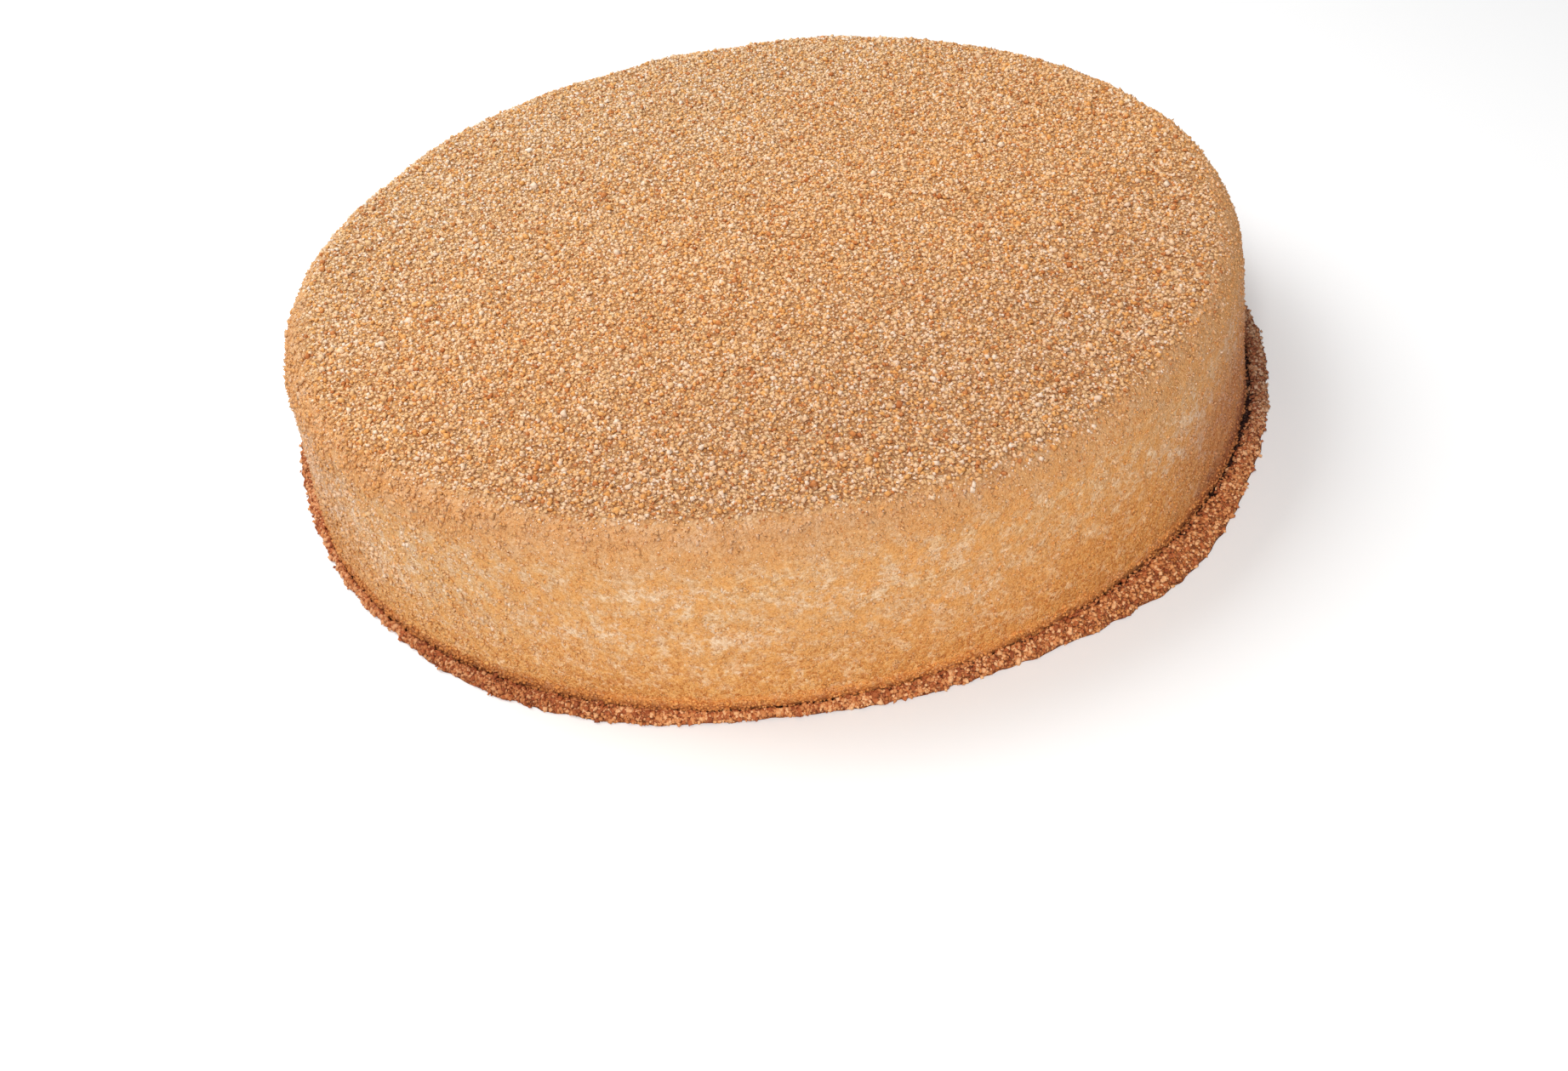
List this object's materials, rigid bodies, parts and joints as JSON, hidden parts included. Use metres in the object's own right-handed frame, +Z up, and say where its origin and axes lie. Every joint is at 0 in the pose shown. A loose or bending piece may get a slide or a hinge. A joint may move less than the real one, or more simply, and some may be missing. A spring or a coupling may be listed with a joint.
{
  "type": "biscuit cake",
  "caption": "Round low cake covered in biscuit crumb, coarse on its flat top and fine on its side, with fallen crumbs round its foot.",
  "frame": {"origin": "middle of the cake's footprint, in the plane of its flat underside", "axes": "+Z up, out of the cake's top; -Y towards the side of the cake that faces the camera in the picture; X across, to that view's right"},
  "size_m": [0.284, 0.277, 0.0541],
  "materials": {
    "crumb_coating": "dry biscuit crumb, golden with paler cream-coloured and browner crumbs, fully matte",
    "fallen_crumb": "dry loose biscuit crumb, browner than the cake, fully matte"
  },
  "bodies": {
    "root": {"cake": "crumb_coating", "foot_crumbs": "fallen_crumb"}
  },
  "joints": []
}
